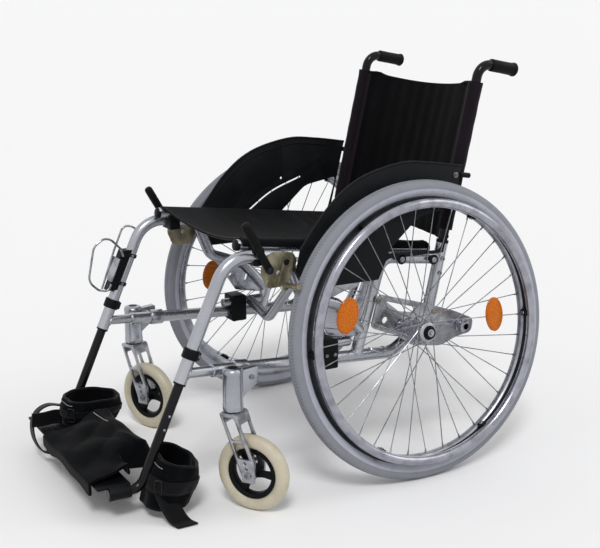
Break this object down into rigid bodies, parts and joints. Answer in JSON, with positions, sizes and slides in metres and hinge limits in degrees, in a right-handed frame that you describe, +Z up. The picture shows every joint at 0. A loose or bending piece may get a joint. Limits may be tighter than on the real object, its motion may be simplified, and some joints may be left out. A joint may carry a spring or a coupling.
{
  "type": "folding wheelchair",
  "caption": "Folding manual wheelchair with cambered spoked wheels, swivel casters, scissor braces, fabric slings, side guards and a foot rest.",
  "frame": {"origin": "on the floor, at the middle of the bounding box", "axes": "+Z up, the chair faces -Y, +X is the sitter's left"},
  "size_m": [0.7272, 0.9778, 0.8317],
  "materials": {
    "silver_lacquer": "satin metallic lacquer",
    "black_lacquer": "gloss black lacquer",
    "bare_alloy": "polished and clear-coated",
    "zinc_steel": "zinc plated",
    "chromed_wire": "bright",
    "black_plastic": "moulded",
    "grip_rubber": "matt",
    "grey_tyre": "matt grey",
    "cream_tyre": "cast polyurethane",
    "black_nylon": "woven",
    "black_webbing": "webbing",
    "orange_lens": "prismatic lens"
  },
  "bodies": {
    "frame_left": {"side_frame_left": "silver_lacquer", "back_cane_left": "black_lacquer", "hand_grip_left": "grip_rubber", "clamp_ring_left": "black_plastic", "brace_foot_left": "black_plastic", "rail_saddle_left": "black_plastic", "caster_housing_left": "silver_lacquer", "axle_plate_left": "bare_alloy", "side_guard_left": "black_plastic", "brake_bracket_left": "zinc_steel", "back_sling": "black_nylon"},
    "frame_right": {"side_frame_right": "silver_lacquer", "back_cane_right": "black_lacquer", "hand_grip_right": "grip_rubber", "clamp_ring_right": "black_plastic", "brace_foot_right": "black_plastic", "rail_saddle_right": "black_plastic", "caster_housing_right": "silver_lacquer", "axle_plate_right": "bare_alloy", "side_guard_right": "black_plastic", "brake_bracket_right": "zinc_steel", "wire_rack": "chromed_wire", "rack_clamp": "black_plastic"},
    "brace_a": {"brace_a": "silver_lacquer", "brace_bolt": "zinc_steel", "seat_sling": "black_nylon"},
    "brace_b": {"brace_b": "silver_lacquer"},
    "axle_left": {"axle_pin_left": "zinc_steel"},
    "button_left": {"release_button_left": "black_plastic"},
    "wheel_left": {"rear_tyre_left": "grey_tyre", "rear_rim_left": "bare_alloy", "rear_hub_left": "bare_alloy", "push_rim_left": "bare_alloy", "reflector_a_left": "orange_lens", "reflector_b_left": "orange_lens"},
    "caster_fork_left": {"caster_fork_left": "bare_alloy", "caster_axle_left": "zinc_steel"},
    "caster_wheel_left": {"caster_tyre_left": "cream_tyre", "caster_rim_left": "black_plastic"},
    "lever_left": {"brake_lever_left": "black_plastic"},
    "shoe_left": {"brake_shoe_left": "zinc_steel"},
    "axle_right": {"axle_pin_right": "zinc_steel"},
    "button_right": {"release_button_right": "black_plastic"},
    "wheel_right": {"rear_tyre_right": "grey_tyre", "rear_rim_right": "bare_alloy", "rear_hub_right": "bare_alloy", "push_rim_right": "bare_alloy", "reflector_a_right": "orange_lens", "reflector_b_right": "orange_lens"},
    "caster_fork_right": {"caster_fork_right": "bare_alloy", "caster_axle_right": "zinc_steel"},
    "caster_wheel_right": {"caster_tyre_right": "cream_tyre", "caster_rim_right": "black_plastic"},
    "lever_right": {"brake_lever_right": "black_plastic"},
    "shoe_right": {"brake_shoe_right": "zinc_steel"},
    "foot_left": {"foot_tube_left": "black_lacquer", "foot_cuff_left": "black_webbing"},
    "foot_right": {"foot_tube_right": "black_lacquer"},
    "plate": {"footplate": "black_plastic", "foot_cuff_right": "black_webbing"}
  },
  "joints": [
    {"name": "fold", "type": "hinge", "parent": "frame_left", "child": "brace_a", "pos_m": [0.196, 0.18508, 0.271], "axis": [0, 1, 0], "range_deg": [0, 48], "deforming": ["seat_sling", "back_sling"]},
    {"name": "brace_crossing", "type": "hinge", "parent": "brace_a", "child": "brace_b", "pos_m": [0, 0.18508, 0.345], "axis": [0, 1, 0], "range_deg": [-96, 0]},
    {"name": "brace_b_foot", "type": "hinge", "parent": "brace_b", "child": "frame_right", "pos_m": [-0.196, 0.18508, 0.271], "axis": [0, 1, 0], "range_deg": [0, 48]},
    {"name": "axle_pull_left", "type": "slide", "parent": "frame_left", "child": "axle_left", "axis": [0.9945, 0, 0.1045], "range_m": [0, 0.12]},
    {"name": "button_left", "type": "slide", "parent": "axle_left", "child": "button_left", "axis": [-0.9945, 0, -0.1045], "range_m": [0, 0.003], "stiffness_N_per_m": 300},
    {"name": "wheel_spin_left", "type": "hinge", "parent": "axle_left", "child": "wheel_left", "pos_m": [0.296, 0.18508, 0.30218], "axis": [0.9945, 0, 0.1045], "continuous": true},
    {"name": "caster_swivel_left", "type": "hinge", "parent": "frame_left", "child": "caster_fork_left", "pos_m": [0.252, -0.21692, 0], "axis": [0, 0, 1], "continuous": true},
    {"name": "caster_spin_left", "type": "hinge", "parent": "caster_fork_left", "child": "caster_wheel_left", "pos_m": [0.28819, -0.19278, 0.07535], "axis": [0.5548, -0.832, 0], "continuous": true},
    {"name": "brake_lever_left", "type": "hinge", "parent": "frame_left", "child": "lever_left", "pos_m": [0.208, -0.12388, 0.45], "axis": [-1, 0, 0], "range_deg": [0, 50]},
    {"name": "brake_shoe_left", "type": "hinge", "parent": "frame_left", "child": "shoe_left", "pos_m": [0.208, -0.08688, 0.462], "axis": [-1, 0, 0], "range_deg": [0, 15]},
    {"name": "foot_height_left", "type": "slide", "parent": "frame_left", "child": "foot_left", "axis": [0, 0.4061, 0.9138], "range_m": [0, 0.05], "deforming": ["foot_cuff_left"]},
    {"name": "axle_pull_right", "type": "slide", "parent": "frame_right", "child": "axle_right", "axis": [-0.9945, 0, 0.1045], "range_m": [0, 0.12]},
    {"name": "button_right", "type": "slide", "parent": "axle_right", "child": "button_right", "axis": [0.9945, 0, -0.1045], "range_m": [0, 0.003], "stiffness_N_per_m": 300},
    {"name": "wheel_spin_right", "type": "hinge", "parent": "axle_right", "child": "wheel_right", "pos_m": [-0.296, 0.18508, 0.30218], "axis": [-0.9945, 0, 0.1045], "continuous": true},
    {"name": "caster_swivel_right", "type": "hinge", "parent": "frame_right", "child": "caster_fork_right", "pos_m": [-0.252, -0.21692, 0], "axis": [0, 0, 1], "continuous": true},
    {"name": "caster_spin_right", "type": "hinge", "parent": "caster_fork_right", "child": "caster_wheel_right", "pos_m": [-0.21196, -0.19992, 0.07535], "axis": [0.3907, -0.9205, 0], "continuous": true},
    {"name": "brake_lever_right", "type": "hinge", "parent": "frame_right", "child": "lever_right", "pos_m": [-0.208, -0.12388, 0.45], "axis": [-1, 0, 0], "range_deg": [0, 50]},
    {"name": "brake_shoe_right", "type": "hinge", "parent": "frame_right", "child": "shoe_right", "pos_m": [-0.208, -0.08688, 0.462], "axis": [-1, 0, 0], "range_deg": [0, 15]},
    {"name": "foot_height_right", "type": "slide", "parent": "frame_right", "child": "foot_right", "axis": [0, 0.4061, 0.9138], "range_m": [0, 0.05]},
    {"name": "footplate_flip", "type": "hinge", "parent": "foot_left", "child": "plate", "pos_m": [0.208, 0.18508, 0.056], "axis": [0, 1, 0], "range_deg": [0, 90], "deforming": ["foot_cuff_right"]}
  ],
  "couplings": [
    {"joint": "brace_crossing", "follows": "fold", "ratio": -2},
    {"joint": "brace_b_foot", "follows": "fold", "ratio": 1},
    {"joint": "brake_shoe_left", "follows": "brake_lever_left", "ratio": 0.3},
    {"joint": "brake_shoe_right", "follows": "brake_lever_right", "ratio": 0.3},
    {"joint": "foot_height_right", "follows": "foot_height_left", "ratio": 1},
    {"joint": "footplate_flip", "follows": "fold", "ratio": 1.875}
  ]
}
